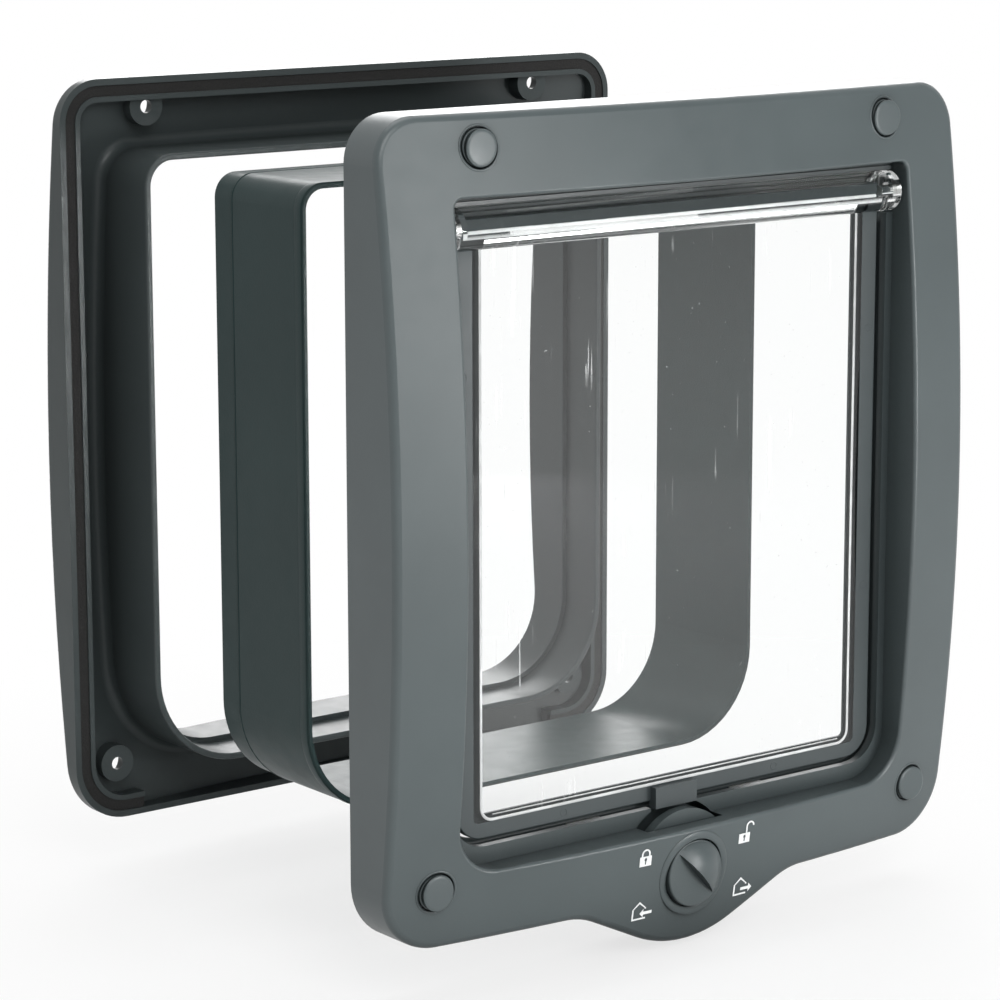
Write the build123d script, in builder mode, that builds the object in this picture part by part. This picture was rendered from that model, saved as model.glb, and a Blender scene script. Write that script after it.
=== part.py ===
"""Two-way cat flap for a door, shown apart: room frame with flap and lock, tunnel and outer frame.

Millimetres. X points right as seen from the room, Y from the room into the door and Z up.
The origin lies on the door-side rim of the room frame, midway between its rows of screws.
"""

import os
from math import asin, cos, radians, sin, sqrt, tan

from build123d import *

# Clear flap and the grey rim round it, which set the width of all the rest
flap_front_y = -12.2
window_thickness = 1.8
window_half_width = 72.1
window_bottom = -87.2
window_corner_radius = 1.5
rim_width = 5.9
rim_foot = 4.6
rim_thickness = 2.6
rim_bottom_radius = 9.0
rim_lip = 3.3
rim_bottom_lip = 2.2
rim_edge_radius = 0.4

# Hinge of the flap: a half-round clear barrel on the grey bar along the top of the rim
hinge_z = 79.6
hinge_set_back = 0.3
barrel_radius = 6.0
barrel_end_gap = 1.0
barrel_clearance = 0.5
barrel_edge_radius = 0.5
bar_drop = 0.8
bar_rise = 2.4
pin_radius = 1.5
pin_end_gap = 0.2
pin_hold = 5.0
pin_play = 0.05
pin_fit = 0.02
pin_boss_width = 4.5
pin_boss_height = 10.0
hinge_head = 8.9

# Ribbed strip in the recess, behind and above the barrel
retainer_depth = 11.25
retainer_back_y = -2.75
retainer_rise = 1.4
retainer_end_gap = 1.5
retainer_groove_radius = 0.35
retainer_groove_count = 5
retainer_groove_start = 20.0
retainer_groove_range = 64.0
retainer_lip_groove_drop = 1.1

# Passage, ledge and recess in the room frame, by their gaps and steps outside the flap
flap_side_gap = 2.4
flap_bottom_gap = 1.8
ledge_side = 2.6
ledge_bottom = 4.9
ledge_set_forward = 1.3
ledge_thickness = 2.5
passage_bottom_radius = 11.4
mouth_top_radius = 2.7
mouth_bottom_radius = 14.0
mouth_edge_radius = 0.9
mouth_wall = 2.2
rib_thickness = 1.6
rib_positions_x = (-35.0, 0.0, 35.0)
rib_positions_z = (-55.0, 0.0, 55.0)

# Tunnel that slides over the spigot of the room frame
spigot_step_side = 0.8
spigot_step_bottom = 1.6
spigot_head = 3.5
spigot_wall = 2.0
spigot_length = 3.0
spigot_groove_depth = 2.5
tunnel_fit = 0.3
tunnel_wall = 1.6
tunnel_top_radius = 7.5
tunnel_bottom_radius = 28.0
tunnel_depth = 45.0
tunnel_near_y = 50.0
tunnel_step_width = 8.5
tunnel_step_depth = 0.35
tunnel_line_width = 0.7
tunnel_line_depth = 0.6
tunnel_lead_in = 0.6

# Frames outside the recess
frame_side = 22.5
frame_head = 22.5
frame_foot = 20.5
outline_top_radius = 13.0
outline_bottom_radius = 18.0

# Both frames are crowned to a large sphere
crown_radius = 746.0
crown_z = -6.4
room_crown_height = 30.0
outer_crown_height = 20.0
face_wall = 2.5
side_wall = 2.0
room_edge_radius = 2.2
outer_edge_radius = 1.5

# Screws through the door, by their distance from the outline
upper_screw_inset = 31.2
lower_screw_inset = 15.7
upper_screw_drop = 9.2
lower_screw_rise = 17.2
screw_bore_radius = 2.4
room_boss_radius = 7.6
outer_boss_radius = 5.8
outer_boss_drop = 1.5
outer_web = 2.0
outer_bore_radius = 2.0
outer_sink_radius = 4.8

# Round caps over the screw heads
cap_gap = 0.45
cap_radius = 5.2
cap_seat_depth = 15.0
cap_proud = 0.3
head_room_radius = 4.2
head_room_depth = 1.8
cap_edge_radius = 0.4

# Outer frame, with the collar that takes the tunnel
unit_gap = 33.6
collar_wall = 2.0
collar_reach = 18.4
collar_step_depth = 2.7
collar_step_width = 1.7
collar_root_radius = 3.0
collar_lip_radius = 0.6
groove_width = 3.4
groove_depth = 2.0
groove_rib = 1.6
groove_end_inset = 24.5
gasket_thickness = 1.5

# Catch tab that the lock holds
tab_half_width = 7.8
tab_top_drop = 0.3
tab_forward = 2.4
tab_back = 0.6
tab_notch_gap = 0.8
tab_notch_depth = 2.4

# Magnets that hold the flap closed
magnet_x = 31.0
magnet_length = 12.0
flap_magnet_height = 3.0
flap_magnet_depth = 1.2
frame_magnet_depth = 4.0
frame_magnet_height = 1.3

# Four-way lock
lock_drop = 13.7
knob_radius = 10.0
knob_gap = 0.35
knob_thickness = 2.7
knob_floor_gap = 0.3
knob_edge_radius = 0.5
knob_dish_depth = 1.6
knob_dish_angle = 50.0
grip_radius = 9.4
grip_height = 3.0
grip_angle = 132.7
stem_radius = 4.0
stem_play = 0.06
lock_boss_radius = 12.8
lock_floor = 1.9
lock_boss_overlap = 1.0
cam_radius = 18.0
cam_lobe_height = 1.4
cam_lobe_half_angle = 20.0
cam_gap = 0.4
cam_tab_gap = 0.6
cam_disc_thickness = 3.0
cam_hub_radius = 7.0
cam_end_gap = 0.5
lobe_angles_front = (-90.0, 90.0)
lobe_angles_rear = (90.0, 180.0)
lock_screw_radius = 1.2
lock_screw_head_radius = 2.8
lock_screw_head_height = 1.4
lock_screw_length = 13.0
screw_play = 0.05

# Lip below the room frame, round the cam of the lock
chin_wall = 1.6
chin_radius = 40.3
chin_arc_half_width = 17.5
chin_blend_radius = 24.0

# Plate over the back of the lock, with its screws and the click spring
cover_half_width = 27.0
cover_front_y = -4.0
cover_thickness = 2.0
cover_gap = 0.4
cover_top_gap = 0.7
cover_screw_x = 23.0
cover_screw_rise = 7.4
cover_boss_radius = 3.0
cover_post_length = 17.5
cover_screw_radius = 1.2
cover_screw_head_radius = 2.4
cover_screw_head_height = 1.3
cover_screw_length = 9.0
spring_half_length = 13.0
spring_foot = 4.0
spring_flat = 6.0
spring_thickness = 0.4
spring_height = 4.0
spring_drop = 7.8
spring_gap = 0.3

# White signs round the knob
sign_thickness = 0.12
sign_line = 0.5
lock_sign_x = 18.8
lock_sign_rise = 8.5
house_sign_x = 19.3
house_sign_drop = 7.7

# Worked out from the sizes above: the flap and what closes round it
window_back_y = flap_front_y + window_thickness
rim_back_y = flap_front_y + rim_thickness
rim_half_width = window_half_width + rim_width
rim_bottom = window_bottom - rim_foot
hinge_y = flap_front_y - hinge_set_back
hinge_free_radius = barrel_radius + barrel_clearance
passage_half_width = rim_half_width + flap_side_gap
passage_bottom = rim_bottom - flap_bottom_gap
mouth_half_width = passage_half_width + ledge_side
mouth_bottom = passage_bottom - ledge_bottom
mouth_top = hinge_z + hinge_head
ledge_front_y = flap_front_y - ledge_set_forward
ledge_back_y = ledge_front_y + ledge_thickness
barrel_half_length = mouth_half_width - barrel_end_gap
bar_bottom = hinge_z - bar_drop
bar_top = hinge_z + bar_rise
pin_reach = barrel_half_length - rim_half_width - pin_end_gap
retainer_bottom = hinge_z + retainer_rise
retainer_front_y = retainer_back_y - retainer_depth

# Spigot, tunnel and frames
spigot_half_width = passage_half_width + spigot_step_side
spigot_bottom = passage_bottom - spigot_step_bottom
spigot_top = hinge_z + spigot_head
inset_tunnel = tunnel_wall + tunnel_fit
spigot_inset = inset_tunnel + spigot_wall
tunnel_half_width = spigot_half_width + spigot_inset
tunnel_bottom = spigot_bottom - spigot_inset
tunnel_top = spigot_top + spigot_inset
tunnel_far_y = tunnel_near_y + tunnel_depth
outer_rim_y = tunnel_far_y + unit_gap + collar_reach
outline_half_width = mouth_half_width + frame_side
outline_top = mouth_top + frame_head
outline_bottom = mouth_bottom - frame_foot
face_reach = room_crown_height + 5.0
outer_reach = outer_crown_height + 5.0
groove_inner = side_wall + groove_width
groove_end_x = outline_half_width - groove_end_inset
screw_points = [
    (-outline_half_width + upper_screw_inset, outline_top - upper_screw_drop),
    (outline_half_width - upper_screw_inset, outline_top - upper_screw_drop),
    (-outline_half_width + lower_screw_inset, outline_bottom + lower_screw_rise),
    (outline_half_width - lower_screw_inset, outline_bottom + lower_screw_rise),
]

flap_magnet_points = [(side * magnet_x, (rim_bottom + window_bottom) / 2) for side in (-1, 1)]
frame_magnet_points = [(side * magnet_x, spigot_bottom + frame_magnet_height / 2) for side in (-1, 1)]

# Lock
lock_z = mouth_bottom - lock_drop
tab_front_y = flap_front_y - tab_forward
tab_back_y = flap_front_y + tab_back
tab_top = window_bottom - tab_top_drop
cam_front_y = tab_front_y - cam_tab_gap - cam_disc_thickness
cam_middle_y = tab_back_y + cam_tab_gap
cam_rear_y = cam_middle_y + cam_disc_thickness
cam_lobe_radius = cam_radius + cam_lobe_height
cam_chamber_radius = cam_lobe_radius + cam_gap
tab_bottom = lock_z + cam_radius + cam_gap
lock_floor_y = cam_front_y - cam_end_gap
knob_back_y = lock_floor_y - lock_floor - knob_floor_gap
knob_front_y = knob_back_y - knob_thickness
chin_bottom = lock_z - cam_chamber_radius - chin_wall
chin_depth = outline_bottom - chin_bottom
cover_top = mouth_bottom - mouth_wall - cover_top_gap
cover_screw_z = lock_z + cover_screw_rise


def room_plane(y):
    """Sketch plane at depth y: local X is X, local Y is Z and its normal points to the room."""
    return Plane.XZ.offset(-y)


def upright_box(half_width, bottom, top, bottom_radius, top_radius, mode=Mode.ADD):
    """Rectangle with rounded corners, centred on x = 0, as a face of the sketch in hand."""
    with BuildLine(mode=Mode.PRIVATE) as edge:
        FilletPolyline(
            (-half_width, bottom),
            (half_width, bottom),
            (half_width, top),
            (-half_width, top),
            radius=(bottom_radius, bottom_radius, top_radius, top_radius),
            close=True,
        )
    make_face(edge.line, mode=mode)


def plain_outline(inset, mode=Mode.ADD):
    """Outline of the outer frame, moved inwards by inset."""
    upright_box(
        outline_half_width - inset,
        outline_bottom + inset,
        outline_top - inset,
        outline_bottom_radius - inset,
        outline_top_radius - inset,
        mode=mode,
    )


def chin_face(inset):
    """Rounded lip below the outline, moved inwards by inset, with its concave blends."""
    slope = asin(chin_arc_half_width / chin_radius)
    arc_radius = chin_radius - inset
    arc_x = arc_radius * sin(slope)
    arc_z = chin_bottom + chin_radius - arc_radius * cos(slope)
    floor = outline_bottom + inset
    blend_radius = chin_blend_radius + inset
    foot = arc_x + (floor - arc_z) / tan(slope)
    reach = blend_radius * tan(slope / 2)
    on_flank = (foot - reach * cos(slope), floor - reach * sin(slope))
    on_floor = (foot + reach, floor)
    with BuildLine(mode=Mode.PRIVATE) as edge:
        ThreePointArc((-arc_x, arc_z), (0, chin_bottom + inset), (arc_x, arc_z))
        Line((arc_x, arc_z), on_flank)
        RadiusArc(on_flank, on_floor, blend_radius)
        Line(on_floor, (foot + reach, floor + chin_depth))
        Line((foot + reach, floor + chin_depth), (-foot - reach, floor + chin_depth))
        Line((-foot - reach, floor + chin_depth), (-foot - reach, floor))
        RadiusArc((-foot - reach, floor), (-on_flank[0], on_flank[1]), blend_radius)
        Line((-on_flank[0], on_flank[1]), (-arc_x, arc_z))
    make_face(edge.line)


def room_outline(inset):
    """Outline of the room frame with its chin, moved inwards by inset."""
    plain_outline(inset)
    chin_face(inset)


def mouth_box(grow, mode=Mode.ADD):
    """Outline of the recess, moved outwards by grow."""
    upright_box(
        mouth_half_width + grow,
        mouth_bottom - grow,
        mouth_top + grow,
        mouth_bottom_radius + grow,
        mouth_top_radius + grow,
        mode=mode,
    )


def tunnel_box(inset, mode=Mode.ADD):
    """Outer outline of the tunnel, moved inwards by inset."""
    upright_box(
        tunnel_half_width - inset,
        tunnel_bottom + inset,
        tunnel_top - inset,
        tunnel_bottom_radius - inset,
        tunnel_top_radius - inset,
        mode=mode,
    )


def passage_box(half_width, bottom):
    """Opening for the flap, as a face of the sketch in hand."""
    upright_box(half_width, bottom, spigot_top, passage_bottom_radius, mouth_top_radius)


def retainer_face():
    """Front outline of the ribbed strip behind the barrel, as a face of the sketch in hand."""
    with Locations((0, (retainer_bottom + mouth_top) / 2)):
        Rectangle(2 * (mouth_half_width - retainer_end_gap), mouth_top - retainer_bottom)


def tab_face():
    """Front outline of the catch tab, as a face of the sketch in hand."""
    with Locations((0, (tab_top + tab_bottom) / 2)):
        Rectangle(2 * tab_half_width, tab_top - tab_bottom)


def room_crown(shift, mode):
    """Ball whose surface is the crown of the room frame, moved outwards by shift."""
    with Locations((0, crown_radius - room_crown_height, crown_z)):
        Sphere(crown_radius + shift, mode=mode)


def outer_crown(shift, mode):
    """Ball whose surface is the crown of the outer frame, moved outwards by shift."""
    with Locations((0, outer_rim_y + outer_crown_height - crown_radius, crown_z)):
        Sphere(crown_radius + shift, mode=mode)


def lobed_disc(lobe_angles):
    """Disc of the lock cam with a raised lobe at each angle, clockwise from the top."""
    Circle(cam_radius)
    for angle in lobe_angles:
        start = 90 - angle - cam_lobe_half_angle
        with BuildLine(mode=Mode.PRIVATE) as lobe:
            arc = CenterArc((0, 0), cam_lobe_radius, start, 2 * cam_lobe_half_angle)
            Line(arc @ 1, (0, 0))
            Line((0, 0), arc @ 0)
        make_face(lobe.line)


def lock_plane(y):
    """Sketch plane at depth y with its origin on the axis of the lock."""
    return Plane(origin=(0, y, lock_z), x_dir=(1, 0, 0), z_dir=(0, -1, 0))


def edge_loop(face):
    """Edges of the longest loop inside a face."""
    return max(face.inner_wires(), key=lambda wire: wire.length).edges()


# Room frame: a crowned shell with a recess, a spigot for the tunnel and bosses
with BuildPart() as room_hollow:
    with BuildSketch(room_plane(0)):
        room_outline(side_wall)
        mouth_box(mouth_wall, mode=Mode.SUBTRACT)
        with Locations(*screw_points):
            Circle(room_boss_radius, mode=Mode.SUBTRACT)
        for side in (-1, 1):
            with Locations((side * (mouth_half_width + mouth_wall), hinge_z)):
                Rectangle(2 * pin_boss_width, pin_boss_height, mode=Mode.SUBTRACT)
            for rib_z in rib_positions_z:
                with Locations((side * (mouth_half_width + outline_half_width) / 2, rib_z)):
                    Rectangle(outline_half_width - mouth_half_width, rib_thickness, mode=Mode.SUBTRACT)
        for rib_x in rib_positions_x:
            with Locations((rib_x, (mouth_top + outline_top) / 2)):
                Rectangle(rib_thickness, outline_top - mouth_top, mode=Mode.SUBTRACT)
    extrude(amount=face_reach)
    room_crown(-face_wall, Mode.INTERSECT)

with BuildPart() as inner_frame:
    with BuildSketch(room_plane(0)):
        room_outline(0)
    extrude(amount=face_reach)
    room_crown(0, Mode.INTERSECT)
    fillet(inner_frame.faces().sort_by(Axis.Y)[0].edges(), radius=room_edge_radius)
    add(room_hollow.part, mode=Mode.SUBTRACT)
    # Recess with its rounded edge, then the spigot and the groove round it
    with BuildSketch(room_plane(ledge_front_y)):
        mouth_box(0)
    extrude(amount=face_reach, mode=Mode.SUBTRACT)
    fillet(edge_loop(inner_frame.faces().sort_by(Axis.Y)[0]), radius=mouth_edge_radius)
    with BuildSketch(room_plane(spigot_length)):
        tunnel_box(inset_tunnel)
        tunnel_box(spigot_inset, mode=Mode.SUBTRACT)
        with Locations((-tunnel_half_width, tunnel_bottom), (tunnel_half_width, tunnel_bottom)):
            Rectangle(2 * tunnel_bottom_radius, 2 * tunnel_bottom_radius, mode=Mode.SUBTRACT)
    extrude(amount=spigot_length)
    with BuildSketch(room_plane(0)):
        tunnel_box(-tunnel_fit)
        tunnel_box(inset_tunnel, mode=Mode.SUBTRACT)
    extrude(amount=spigot_groove_depth, mode=Mode.SUBTRACT)
    # Passage, wider behind the ledge
    with BuildSketch(room_plane(0)):
        passage_box(spigot_half_width, spigot_bottom)
    extrude(amount=-ledge_back_y, mode=Mode.SUBTRACT)
    with BuildSketch(room_plane(ledge_back_y)):
        passage_box(passage_half_width, passage_bottom)
    extrude(amount=ledge_thickness, mode=Mode.SUBTRACT)
    # Room for the turning barrel, and the seat of the ribbed strip
    with BuildSketch(Plane.YZ.offset(-mouth_half_width)):
        with Locations((hinge_y, hinge_z)):
            Circle(hinge_free_radius)
    extrude(amount=2 * mouth_half_width, mode=Mode.SUBTRACT)
    with BuildSketch(room_plane(retainer_back_y)):
        retainer_face()
    extrude(amount=retainer_depth, mode=Mode.SUBTRACT)
    # Boss, bore and dished ring of the lock
    with BuildSketch(lock_plane(lock_floor_y)):
        Circle(lock_boss_radius)
    extrude(amount=lock_floor + lock_boss_overlap)
    with BuildSketch(lock_plane(knob_back_y + knob_floor_gap)):
        Circle(knob_radius + knob_gap)
    extrude(amount=face_reach, mode=Mode.SUBTRACT)
    with BuildSketch(lock_plane(knob_back_y)):
        Circle(knob_radius + knob_gap)
    extrude(amount=knob_dish_depth, taper=-knob_dish_angle, mode=Mode.SUBTRACT)
    with BuildSketch(lock_plane(0)):
        Circle(stem_radius + stem_play)
    extrude(amount=face_reach, mode=Mode.SUBTRACT)
    # Posts for the cover, then the chamber of the cam, which opens the slot in the recess
    with BuildSketch(room_plane(cover_front_y)):
        with Locations((-cover_screw_x, cover_screw_z), (cover_screw_x, cover_screw_z)):
            Circle(cover_boss_radius)
    extrude(amount=cover_post_length)
    with BuildSketch(room_plane(cover_front_y)):
        with Locations((-cover_screw_x, cover_screw_z), (cover_screw_x, cover_screw_z)):
            Circle(cover_screw_radius + screw_play)
    extrude(amount=cover_screw_length, mode=Mode.SUBTRACT)
    with BuildSketch(lock_plane(cam_rear_y + cam_end_gap)):
        Circle(cam_chamber_radius)
    extrude(amount=cam_rear_y - cam_front_y + 2 * cam_end_gap, mode=Mode.SUBTRACT)
    # Notch that lets the tab swing through the passage
    with BuildSketch(room_plane(spigot_length / 2)):
        with Locations((0, tab_bottom)):
            Rectangle(2 * (tab_half_width + tab_notch_gap), 2 * tab_notch_depth)
    extrude(amount=spigot_length / 2 - ledge_front_y, mode=Mode.SUBTRACT)
    # Screw bores with room for each head and a flat seat for its cap
    with BuildSketch(room_plane(0)):
        with Locations(*screw_points):
            Circle(screw_bore_radius)
    extrude(amount=face_reach, mode=Mode.SUBTRACT)
    with BuildSketch(room_plane(-cap_seat_depth + head_room_depth)):
        with Locations(*screw_points):
            Circle(head_room_radius)
    extrude(amount=head_room_depth, mode=Mode.SUBTRACT)
    with BuildSketch(room_plane(-cap_seat_depth)):
        with Locations(*screw_points):
            Circle(cap_radius + cap_gap)
    extrude(amount=face_reach, mode=Mode.SUBTRACT)
    # Bores for the hinge pins
    with BuildSketch(Plane.YZ.offset(-mouth_half_width - pin_hold)):
        with Locations((hinge_y, hinge_z)):
            Circle(pin_radius + pin_fit)
    extrude(amount=2 * (mouth_half_width + pin_hold), mode=Mode.SUBTRACT)

os.makedirs("parts", exist_ok=True)
inner_frame.part.label = "inner_frame"
export_step(inner_frame.part, "parts/inner_frame.step")


# Ribbed strip that lies round the back of the barrel and fills the top of the recess
with BuildPart() as hinge_retainer:
    with BuildSketch(room_plane(retainer_back_y)):
        retainer_face()
    extrude(amount=retainer_depth)
    with BuildSketch(Plane.YZ.offset(-mouth_half_width)):
        with Locations((hinge_y, hinge_z)):
            Circle(hinge_free_radius)
            with PolarLocations(
                hinge_free_radius,
                retainer_groove_count,
                start_angle=retainer_groove_start,
                angular_range=retainer_groove_range,
                endpoint=True,
            ):
                Circle(retainer_groove_radius)
        with Locations((retainer_front_y, mouth_top - retainer_lip_groove_drop)):
            Circle(retainer_groove_radius)
    extrude(amount=2 * mouth_half_width, mode=Mode.SUBTRACT)

hinge_retainer.part.label = "hinge_retainer"
export_step(hinge_retainer.part, "parts/hinge_retainer.step")


# Steel pins of the hinge, one at each end of the barrel
for side, name in ((-1, "hinge_pin_left"), (1, "hinge_pin_right")):
    pin_start = min(side * (barrel_half_length - pin_reach), side * (mouth_half_width + pin_hold))
    with BuildPart() as hinge_pin:
        with BuildSketch(Plane.YZ.offset(pin_start)):
            with Locations((hinge_y, hinge_z)):
                Circle(pin_radius)
        extrude(amount=pin_reach + barrel_end_gap + pin_hold)
    hinge_pin.part.label = name
    export_step(hinge_pin.part, f"parts/{name}.step")


# Clear flap: a half-round barrel with round ends along the top, and a flat window below it
with BuildPart() as flap_window:
    with BuildSketch(Plane.YZ.offset(-barrel_half_length)):
        with Locations((hinge_y, hinge_z)):
            Circle(barrel_radius)
    extrude(amount=2 * barrel_half_length)
    fillet(flap_window.edges().filter_by(GeomType.CIRCLE), radius=barrel_edge_radius)
    with BuildSketch(room_plane(rim_back_y + barrel_radius)):
        with Locations((0, hinge_z)):
            Rectangle(2 * (rim_half_width + pin_end_gap), 3 * barrel_radius)
    extrude(amount=rim_thickness + barrel_radius, mode=Mode.SUBTRACT)
    with BuildSketch(room_plane(window_back_y)):
        upright_box(window_half_width, window_bottom, bar_bottom, window_corner_radius, 0)
    extrude(amount=window_thickness)
    with BuildSketch(Plane.YZ.offset(-barrel_half_length)):
        with Locations((hinge_y, hinge_z)):
            Circle(pin_radius + pin_play)
    extrude(amount=pin_reach + pin_end_gap, mode=Mode.SUBTRACT)
    with BuildSketch(Plane.YZ.offset(barrel_half_length)):
        with Locations((hinge_y, hinge_z)):
            Circle(pin_radius + pin_play)
    extrude(amount=-pin_reach - pin_end_gap, mode=Mode.SUBTRACT)

flap_window.part.label = "flap_window"
export_step(flap_window.part, "parts/flap_window.step")


# Grey rim round the window, with a bar behind the barrel and a seat for the catch tab
with BuildPart() as flap_rim:
    with BuildSketch(room_plane(rim_back_y)):
        upright_box(rim_half_width, rim_bottom, bar_top, rim_bottom_radius, 0)
        upright_box(
            window_half_width - rim_lip,
            window_bottom + rim_bottom_lip,
            bar_bottom,
            window_corner_radius,
            0,
            mode=Mode.SUBTRACT,
        )
    extrude(amount=rim_thickness)
    fillet(flap_rim.faces().sort_by(Axis.Y)[0].outer_wire().edges(), radius=rim_edge_radius)
    with BuildSketch(room_plane(window_back_y)):
        upright_box(window_half_width, window_bottom, bar_bottom, window_corner_radius, 0)
    extrude(amount=window_thickness, mode=Mode.SUBTRACT)
    with BuildSketch(room_plane(tab_back_y)):
        tab_face()
    extrude(amount=tab_back_y - tab_front_y, mode=Mode.SUBTRACT)
    with BuildSketch(room_plane(rim_back_y)):
        with Locations(*flap_magnet_points):
            Rectangle(magnet_length, flap_magnet_height)
    extrude(amount=flap_magnet_depth, mode=Mode.SUBTRACT)

flap_rim.part.label = "flap_rim"
export_step(flap_rim.part, "parts/flap_rim.step")

# Catch tab, whose lower end hangs between the two cams of the lock
with BuildPart() as flap_tab:
    with BuildSketch(room_plane(tab_back_y)):
        tab_face()
    extrude(amount=tab_back_y - tab_front_y)

flap_tab.part.label = "flap_tab"
export_step(flap_tab.part, "parts/flap_tab.step")

with BuildPart() as flap_magnets:
    with BuildSketch(room_plane(rim_back_y)):
        with Locations(*flap_magnet_points):
            Rectangle(magnet_length, flap_magnet_height)
    extrude(amount=flap_magnet_depth)

flap_magnets.part.label = "flap_magnets"
export_step(flap_magnets.part, "parts/flap_magnets.step")

# Their partners lie on the spigot, against the back of the ledge
with BuildPart() as frame_magnets:
    with BuildSketch(room_plane(ledge_back_y + frame_magnet_depth)):
        with Locations(*frame_magnet_points):
            Rectangle(magnet_length, frame_magnet_height)
    extrude(amount=frame_magnet_depth)

frame_magnets.part.label = "frame_magnets"
export_step(frame_magnets.part, "parts/frame_magnets.step")


# Turning knob with a grip shaped like a dome cut off along one line
grip_ball_radius = (grip_radius**2 + grip_height**2) / (2 * grip_height)
grip_plane = Plane(
    origin=(0, knob_front_y, lock_z),
    x_dir=(cos(radians(grip_angle)), 0, sin(radians(grip_angle))),
    z_dir=(0, -1, 0),
)
with BuildPart() as knob_grip:
    with BuildSketch(grip_plane):
        Circle(grip_radius)
        with Locations((0, grip_radius)):
            Rectangle(2 * grip_radius, 2 * grip_radius, mode=Mode.SUBTRACT)
    extrude(amount=2 * grip_height)
    with Locations((0, knob_front_y - grip_height + grip_ball_radius, lock_z)):
        Sphere(grip_ball_radius, mode=Mode.INTERSECT)

with BuildPart() as lock_knob:
    with BuildSketch(lock_plane(knob_back_y)):
        Circle(knob_radius)
    extrude(amount=knob_back_y - knob_front_y)
    fillet(lock_knob.edges().sort_by(Axis.Y)[0], radius=knob_edge_radius)
    with BuildSketch(lock_plane(cam_front_y)):
        Circle(stem_radius)
    extrude(amount=cam_front_y - knob_back_y)
    add(knob_grip.part)
    with BuildSketch(lock_plane(cam_front_y)):
        Circle(lock_screw_radius + screw_play)
    extrude(amount=lock_screw_length + cam_front_y - cam_rear_y, mode=Mode.SUBTRACT)

lock_knob.part.label = "lock_knob"
export_step(lock_knob.part, "parts/lock_knob.step")


# Two cams behind the knob: the front lobes stop the flap inwards, the rear lobes outwards
with BuildPart() as lock_cam_front:
    with BuildSketch(lock_plane(cam_front_y + cam_disc_thickness)):
        lobed_disc(lobe_angles_front)
    extrude(amount=cam_disc_thickness)
    with BuildSketch(lock_plane(cam_middle_y)):
        Circle(cam_hub_radius)
    extrude(amount=cam_middle_y - cam_front_y)
    with BuildSketch(lock_plane(cam_middle_y)):
        Circle(lock_screw_radius + screw_play)
    extrude(amount=cam_middle_y - cam_front_y, mode=Mode.SUBTRACT)

lock_cam_front.part.label = "lock_cam_front"
export_step(lock_cam_front.part, "parts/lock_cam_front.step")

with BuildPart() as lock_cam_rear:
    with BuildSketch(lock_plane(cam_rear_y)):
        lobed_disc(lobe_angles_rear)
        Circle(lock_screw_radius + screw_play, mode=Mode.SUBTRACT)
    extrude(amount=cam_disc_thickness)

lock_cam_rear.part.label = "lock_cam_rear"
export_step(lock_cam_rear.part, "parts/lock_cam_rear.step")

with BuildPart() as lock_screw:
    with BuildSketch(lock_plane(cam_rear_y + lock_screw_head_height)):
        Circle(lock_screw_head_radius)
    extrude(amount=lock_screw_head_height)
    with BuildSketch(lock_plane(cam_rear_y)):
        Circle(lock_screw_radius)
    extrude(amount=lock_screw_length)

lock_screw.part.label = "lock_screw"
export_step(lock_screw.part, "parts/lock_screw.step")


# Cover over the back of the lock
with BuildPart() as lock_cover:
    with BuildSketch(room_plane(cover_front_y + cover_thickness)):
        room_outline(side_wall + cover_gap)
        with Locations((0, (cover_top + chin_bottom) / 2)):
            Rectangle(2 * cover_half_width, cover_top - chin_bottom, mode=Mode.INTERSECT)
        with Locations((-cover_screw_x, cover_screw_z), (cover_screw_x, cover_screw_z)):
            Circle(cover_screw_radius + screw_play, mode=Mode.SUBTRACT)
    extrude(amount=cover_thickness)

lock_cover.part.label = "lock_cover"
export_step(lock_cover.part, "parts/lock_cover.step")

with BuildPart() as cover_screws:
    with BuildSketch(room_plane(cover_front_y + cover_thickness + cover_screw_head_height)):
        with Locations((-cover_screw_x, cover_screw_z), (cover_screw_x, cover_screw_z)):
            Circle(cover_screw_head_radius)
    extrude(amount=cover_screw_head_height)
    with BuildSketch(room_plane(cover_front_y + cover_thickness)):
        with Locations((-cover_screw_x, cover_screw_z), (cover_screw_x, cover_screw_z)):
            Circle(cover_screw_radius)
    extrude(amount=cover_screw_length)

cover_screws.part.label = "cover_screws"
export_step(cover_screws.part, "parts/cover_screws.step")

# Leaf spring between the cover and the cam, which makes the knob click
spring_foot_y = cover_front_y - spring_thickness / 2
spring_flat_y = cam_rear_y + spring_gap + spring_thickness / 2
with BuildPart() as click_spring:
    with BuildSketch(Plane.XY.offset(lock_z - spring_drop - spring_height)):
        with BuildLine() as spring_line:
            Polyline(
                (-spring_half_length, spring_foot_y),
                (-spring_half_length + spring_foot, spring_foot_y),
                (-spring_flat, spring_flat_y),
                (spring_flat, spring_flat_y),
                (spring_half_length - spring_foot, spring_foot_y),
                (spring_half_length, spring_foot_y),
            )
        trace(line_width=spring_thickness)
    extrude(amount=spring_height)

click_spring.part.label = "click_spring"
export_step(click_spring.part, "parts/click_spring.step")


# Round caps over the screws, crowned like the face
cap_names = ("cap_top_left", "cap_top_right", "cap_bottom_left", "cap_bottom_right")
for name, point in zip(cap_names, screw_points):
    with BuildPart() as cap:
        with BuildSketch(room_plane(-cap_seat_depth)):
            with Locations(point):
                Circle(cap_radius)
        extrude(amount=face_reach)
        room_crown(cap_proud, Mode.INTERSECT)
        fillet(cap.faces().sort_by(Axis.Y)[0].edges(), radius=cap_edge_radius)
    cap.part.label = name
    export_step(cap.part, f"parts/{name}.step")


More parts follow.
